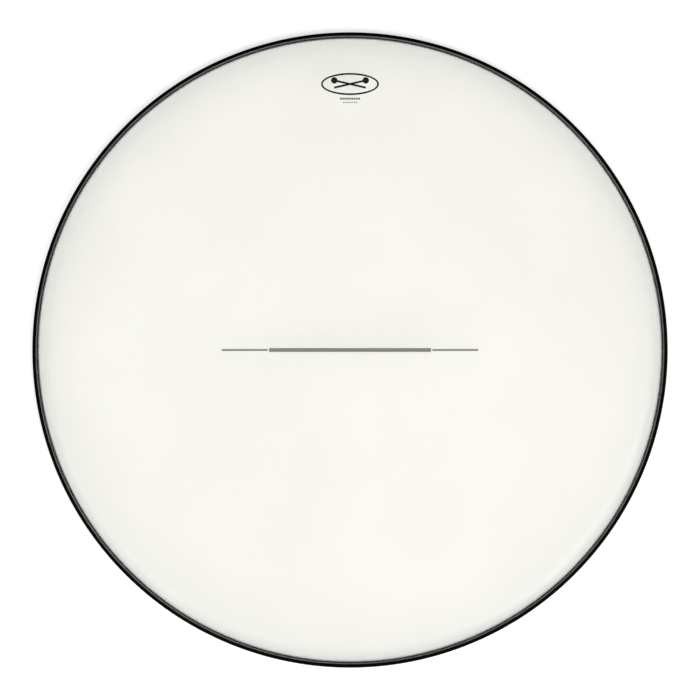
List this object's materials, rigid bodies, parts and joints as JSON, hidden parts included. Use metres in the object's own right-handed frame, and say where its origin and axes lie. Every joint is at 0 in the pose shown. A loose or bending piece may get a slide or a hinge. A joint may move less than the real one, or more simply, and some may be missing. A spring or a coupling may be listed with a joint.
{
  "type": "timpani drumhead",
  "caption": "Round frosted polyester timpani head with a formed collar, locked by resin into a slim black channel hoop that keeps it flat and round.",
  "frame": {"origin": "centre of the hoop's underside", "axes": "+Z is the head's axis and points out of the playing surface; +Y points from the middle to the printed badge; +X is along the printed centre line"},
  "size_m": [0.7112, 0.7112, 0.0206],
  "materials": {
    "polyester_film": "satin",
    "black_channel": "satin",
    "insert_steel": "satin",
    "resin": "gloss",
    "line_ink": "matte",
    "badge_ink": "matte"
  },
  "bodies": {
    "root": {"film_membrane": "polyester_film", "hoop_channel": "black_channel", "steel_insert_ring": "insert_steel", "locking_resin": "resin", "centre_line_print": "line_ink", "badge_print": "badge_ink"}
  },
  "joints": []
}
